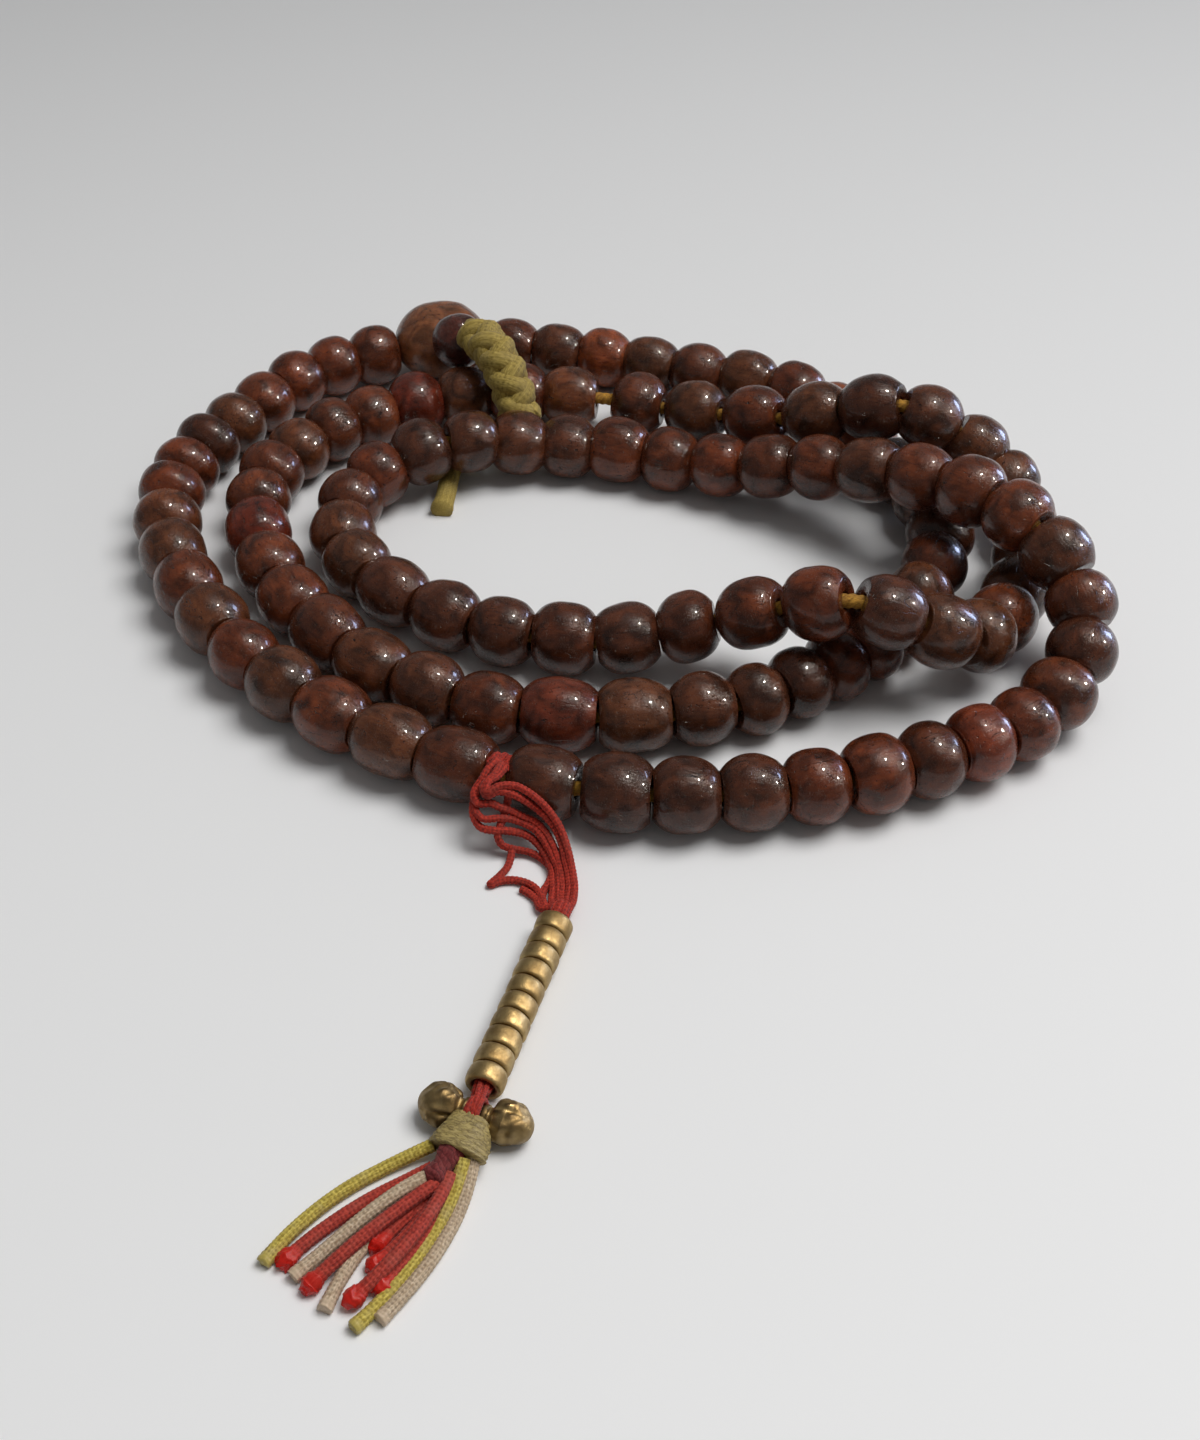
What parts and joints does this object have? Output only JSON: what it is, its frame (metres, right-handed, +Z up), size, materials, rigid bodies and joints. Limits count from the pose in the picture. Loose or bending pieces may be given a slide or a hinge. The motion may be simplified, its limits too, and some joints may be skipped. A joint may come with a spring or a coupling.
{
  "type": "mala prayer beads",
  "caption": "String of polished wooden prayer beads laid in three loose laps, with guru bead, yellow plait, brass ring counter, small vajra and cord tassel.",
  "frame": {"origin": "on the surface it lies on, under the middle of the box round the strand, the rings, the vajra and the wrap", "axes": "+Z up from the surface, +Y from the tassel toward the guru bead, +X to the right seen from the tassel"},
  "size_m": [0.1412, 0.1855, 0.0217],
  "materials": {
    "bead_wood": "polished dark red-brown seed or wood, fine scratches and pits, paler worn patina",
    "guru_wood": "polished taupe-brown wood, redder below",
    "neck_wood": "polished dark maroon wood",
    "golden_string": "golden orange twisted cotton",
    "yellow_cotton": "dull yellow plaited cotton, matte",
    "aged_brass": "aged golden-brown brass, satin with bright worn spots and dark seams",
    "red_cord": "faded red woven cord with bright melted tips",
    "beige_cord": "beige woven cord, matte",
    "waxed_wrap": "khaki waxed thread wrap, wrinkled, slightly shiny",
    "maroon_core": "dark maroon waxed knot"
  },
  "bodies": {
    "strand": {"beads_001_to_004": "bead_wood", "beads_005_to_008": "bead_wood", "beads_009_to_012": "bead_wood", "beads_013_to_017": "bead_wood", "beads_019_to_023": "bead_wood", "beads_024_to_029": "bead_wood", "beads_030_to_033": "bead_wood", "beads_034_to_038": "bead_wood", "beads_039_to_043": "bead_wood", "beads_044_to_048": "bead_wood", "beads_049_to_053": "bead_wood", "beads_057_to_061": "bead_wood", "beads_062_to_067": "bead_wood", "beads_072_to_076": "bead_wood", "beads_077_to_081": "bead_wood", "beads_082_to_086": "bead_wood", "beads_087_to_091": "bead_wood", "beads_092_to_096": "bead_wood", "beads_097_to_102": "bead_wood", "beads_103_to_108": "bead_wood", "bead_055": "bead_wood", "main_string": "golden_string", "guru_bead": "guru_wood", "neck_bead": "neck_wood", "string_braid": "yellow_cotton", "string_tail": "yellow_cotton", "carrier_cord": "red_cord", "carrier_loose_loop": "red_cord", "vajra": "aged_brass", "vajra_lashing": "red_cord", "tassel_wrap": "waxed_wrap", "tassel_core": "maroon_core", "tassel_yellow_left": "yellow_cotton", "tassel_red_left": "red_cord", "tassel_beige_left": "beige_cord", "tassel_red_centre": "red_cord", "tassel_beige_under": "beige_cord", "tassel_red_under": "red_cord", "tassel_red_short": "red_cord", "tassel_red_middle": "red_cord", "tassel_red_right": "red_cord", "tassel_yellow_right": "yellow_cotton", "tassel_beige_right": "beige_cord"},
    "bead_018": {"bead_018": "bead_wood"},
    "bead_054": {"bead_054": "bead_wood"},
    "bead_056": {"bead_056": "bead_wood"},
    "bead_068": {"bead_068": "bead_wood"},
    "bead_069": {"bead_069": "bead_wood"},
    "bead_070": {"bead_070": "bead_wood"},
    "bead_071": {"bead_071": "bead_wood"},
    "counter_ring_10": {"counter_ring_10": "aged_brass"},
    "counter_ring_09": {"counter_ring_09": "aged_brass"},
    "counter_ring_08": {"counter_ring_08": "aged_brass"},
    "counter_ring_07": {"counter_ring_07": "aged_brass"},
    "counter_ring_06": {"counter_ring_06": "aged_brass"},
    "counter_ring_05": {"counter_ring_05": "aged_brass"},
    "counter_ring_04": {"counter_ring_04": "aged_brass"},
    "counter_ring_03": {"counter_ring_03": "aged_brass"},
    "counter_ring_02": {"counter_ring_02": "aged_brass"},
    "counter_ring_01": {"counter_ring_01": "aged_brass"}
  },
  "joints": [
    {"name": "bead_018_spin", "type": "hinge", "parent": "strand", "child": "bead_018", "pos_m": [-0.00716, -0.02909, 0.005], "axis": [-0.9674, 0.2533, 0], "continuous": true},
    {"name": "bead_054_slide", "type": "slide", "parent": "strand", "child": "bead_054", "axis": [-0.8106, 0.3242, -0.4876], "range_m": [0, 0.0006]},
    {"name": "bead_056_slide", "type": "slide", "parent": "strand", "child": "bead_056", "axis": [-0.9336, 0.0682, 0.3518], "range_m": [0, 0.00025]},
    {"name": "bead_068_slide", "type": "slide", "parent": "strand", "child": "bead_068", "axis": [0.8115, -0.5163, 0.2735], "range_m": [0, 0.0008]},
    {"name": "bead_069_slide", "type": "slide", "parent": "strand", "child": "bead_069", "axis": [0.8563, -0.4799, 0.1909], "range_m": [0, 0.0009]},
    {"name": "bead_070_slide", "type": "slide", "parent": "strand", "child": "bead_070", "axis": [0.9566, -0.2914, 0], "range_m": [0, 0.0007]},
    {"name": "bead_071_slide", "type": "slide", "parent": "strand", "child": "bead_071", "axis": [0.9901, -0.1406, 0], "range_m": [0, 0.0022]},
    {"name": "counter_ring_10_slide", "type": "slide", "parent": "strand", "child": "counter_ring_10", "axis": [0.3041, 0.9526, 0], "range_m": [0, 0.00025]},
    {"name": "counter_ring_09_slide", "type": "slide", "parent": "counter_ring_10", "child": "counter_ring_09", "axis": [0.3041, 0.9526, 0], "range_m": [0, 0.00025]},
    {"name": "counter_ring_08_slide", "type": "slide", "parent": "counter_ring_09", "child": "counter_ring_08", "axis": [0.3041, 0.9526, 0], "range_m": [0, 0.00025]},
    {"name": "counter_ring_07_slide", "type": "slide", "parent": "counter_ring_08", "child": "counter_ring_07", "axis": [0.3041, 0.9526, 0], "range_m": [0, 0.00025]},
    {"name": "counter_ring_06_slide", "type": "slide", "parent": "counter_ring_07", "child": "counter_ring_06", "axis": [0.3041, 0.9526, 0], "range_m": [0, 0.00025]},
    {"name": "counter_ring_05_slide", "type": "slide", "parent": "counter_ring_06", "child": "counter_ring_05", "axis": [0.3041, 0.9526, 0], "range_m": [0, 0.00025]},
    {"name": "counter_ring_04_slide", "type": "slide", "parent": "counter_ring_05", "child": "counter_ring_04", "axis": [0.3041, 0.9526, 0], "range_m": [0, 0.00025]},
    {"name": "counter_ring_03_slide", "type": "slide", "parent": "counter_ring_04", "child": "counter_ring_03", "axis": [0.3041, 0.9526, 0], "range_m": [0, 0.00025]},
    {"name": "counter_ring_02_slide", "type": "slide", "parent": "counter_ring_03", "child": "counter_ring_02", "axis": [0.3041, 0.9526, 0], "range_m": [0, 0.00025]},
    {"name": "counter_ring_01_slide", "type": "slide", "parent": "counter_ring_02", "child": "counter_ring_01", "axis": [0.3041, 0.9526, 0], "range_m": [0, 0.00025]}
  ]
}
